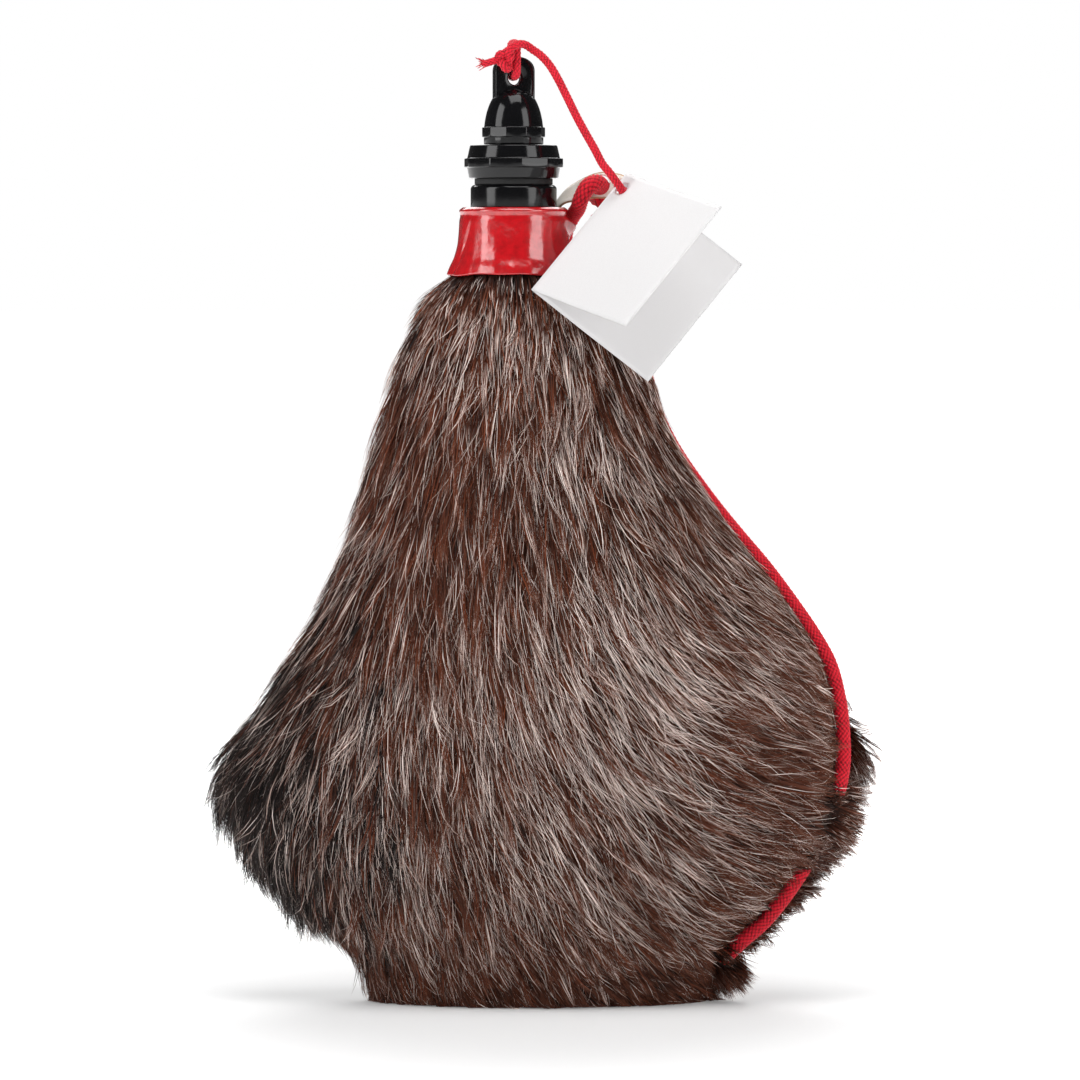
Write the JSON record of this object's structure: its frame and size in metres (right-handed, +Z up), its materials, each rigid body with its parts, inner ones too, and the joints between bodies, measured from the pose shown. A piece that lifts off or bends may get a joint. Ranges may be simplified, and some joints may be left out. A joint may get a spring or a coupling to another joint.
{
  "type": "leather wine bag",
  "caption": "Curved goat-hide wine bag with long brown hair, red neck sleeve, black screw spout and cap, red carrying cord, cap tether and a blank folded tag",
  "frame": {"origin": "middle of the flat base, in the plane of the seam between the two hide panels", "axes": "+Z up through the bag to the spout, +X towards the side whose seam carries the thick red cord, -Y towards the viewer, out of the front panel"},
  "size_m": [0.2028, 0.1001, 0.3116],
  "materials": {
    "hide": "dark brown goat hide with long greyish-tipped hair",
    "latex": "smooth natural latex",
    "thread": "waxed hemp",
    "black_plastic": "glossy moulded",
    "seal_rubber": "matt black rubber",
    "red_pvc": "glossy flexible sleeve",
    "red_cord": "round braided cotton cord",
    "cream_leather": "smooth cream leather, tan cut edge",
    "white_card": "plain white card"
  },
  "bodies": {
    "bag": {"front_hide_panel": "hide", "back_hide_panel": "hide", "seam_thread": "thread", "bladder": "latex", "neck_insert": "black_plastic", "neck_binding": "thread", "collar_sleeve": "red_pvc", "strap_tab": "cream_leather", "strap_cord": "red_cord", "strap_knot": "red_cord", "strap_keeper_side": "hide", "strap_keeper_bottom": "hide"},
    "neck_washer": {"spout_seal": "seal_rubber", "tether_end_knot": "red_cord"},
    "spout": {"spout": "black_plastic"},
    "cap_washer": {"cap_seal": "seal_rubber"},
    "cap": {"cap": "black_plastic", "tether_loop": "red_cord", "tether_knot": "red_cord"},
    "tether": {"cap_tether": "red_cord"},
    "tag": {"tag_back": "white_card"},
    "tag_cover": {"tag_front": "white_card"}
  },
  "joints": [
    {"name": "spout_lift", "type": "slide", "parent": "bag", "child": "neck_washer", "axis": [0, 0, 1], "range_m": [0, 0.009]},
    {"name": "spout_turn", "type": "hinge", "parent": "neck_washer", "child": "spout", "pos_m": [-0.0059, 0, 0.26], "axis": [0, 0, 1], "range_deg": [0, 1080]},
    {"name": "cap_lift", "type": "slide", "parent": "spout", "child": "cap_washer", "axis": [0, 0, 1], "range_m": [0, 0.006]},
    {"name": "cap_turn", "type": "hinge", "parent": "cap_washer", "child": "cap", "pos_m": [-0.0059, 0, 0.28], "axis": [0, 0, 1], "range_deg": [0, 1080]},
    {"name": "tether_rise", "type": "slide", "parent": "neck_washer", "child": "tether", "axis": [0, 0, 1], "range_m": [0, 0.006], "deforming": ["cap_tether"]},
    {"name": "tag_swing", "type": "hinge", "parent": "tether", "child": "tag", "pos_m": [0.0293, -0.0142, 0.2616], "axis": [0.1158, -0.9592, 0.2581], "range_deg": [-25, 25]},
    {"name": "tag_open", "type": "hinge", "parent": "tag", "child": "tag_cover", "pos_m": [-0.00056, -0.02594, 0.23137], "axis": [0.6087, 0.2739, 0.7446], "range_deg": [-60, 41]}
  ],
  "couplings": [
    {"joint": "spout_lift", "follows": "spout_turn", "m_per_rad": 0.00047746},
    {"joint": "cap_lift", "follows": "cap_turn", "m_per_rad": 0.0003183},
    {"joint": "tether_rise", "follows": "cap_turn", "m_per_rad": 0.0003183}
  ]
}
